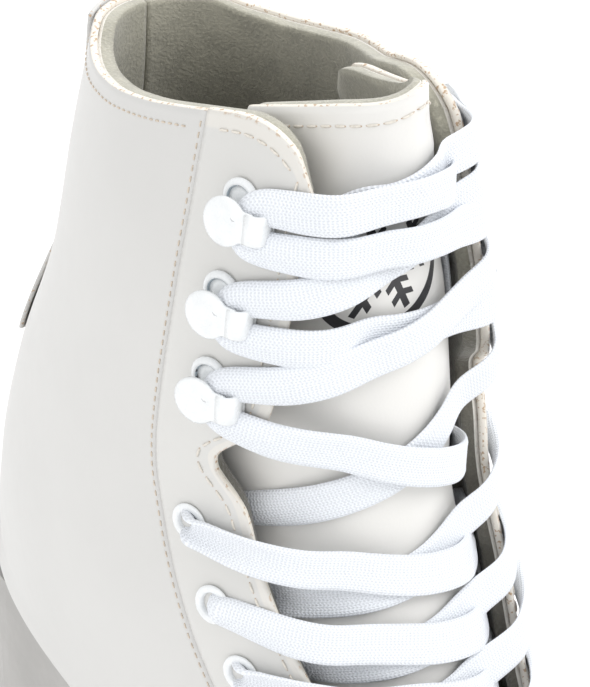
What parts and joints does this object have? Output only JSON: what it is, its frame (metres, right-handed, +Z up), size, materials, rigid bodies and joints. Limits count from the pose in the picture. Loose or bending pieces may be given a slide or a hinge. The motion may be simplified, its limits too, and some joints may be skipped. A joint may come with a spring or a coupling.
{
  "type": "ice skate",
  "caption": "Laced figure skate: high ankle boot with lined collar, hinged tongue, lace hooks and eyelets, moulded heeled sole and steel runner with toe pick",
  "frame": {"origin": "middle of the level stretch of the runner's ground edge, on the ice", "axes": "+X to the toe, +Z up, +Y to the wearer's left"},
  "size_m": [0.295, 0.0948, 0.2758],
  "materials": {
    "leather": "smooth coated",
    "stiffener": "matt",
    "fleece": "brushed",
    "board": "matt",
    "steel": "satin",
    "sole": "moulded, satin",
    "white_metal": "gloss",
    "lace": "woven",
    "aglet": "gloss",
    "runner_steel": "polished"
  },
  "bodies": {
    "boot": {"quarter_right": "leather", "quarter_left": "leather", "facing_right": "leather", "facing_left": "leather", "vamp": "leather", "backstay": "leather", "heel_counter": "stiffener", "toe_stiffener": "stiffener", "lining_right": "fleece", "lining_left": "fleece", "vamp_lining": "fleece", "lasting_board": "board", "shank": "steel", "footbed": "fleece", "sole_unit": "sole", "eyelets_right": "white_metal", "eyelets_left": "white_metal", "hook_1_right": "white_metal", "hook_2_right": "white_metal", "hook_3_right": "white_metal", "hook_1_left": "white_metal", "hook_2_left": "white_metal", "hook_3_left": "white_metal", "lace": "lace", "aglets": "aglet", "runner": "runner_steel", "sole_plate": "steel", "heel_plate": "steel", "sole_screws": "steel", "heel_screws": "steel"},
    "tongue": {"tongue": "leather", "tongue_lining": "fleece"}
  },
  "joints": [
    {"name": "tongue_hinge", "type": "hinge", "parent": "boot", "child": "tongue", "pos_m": [0.098, 0, 0.112], "axis": [0, -1, 0], "range_deg": [0, 8]}
  ]
}
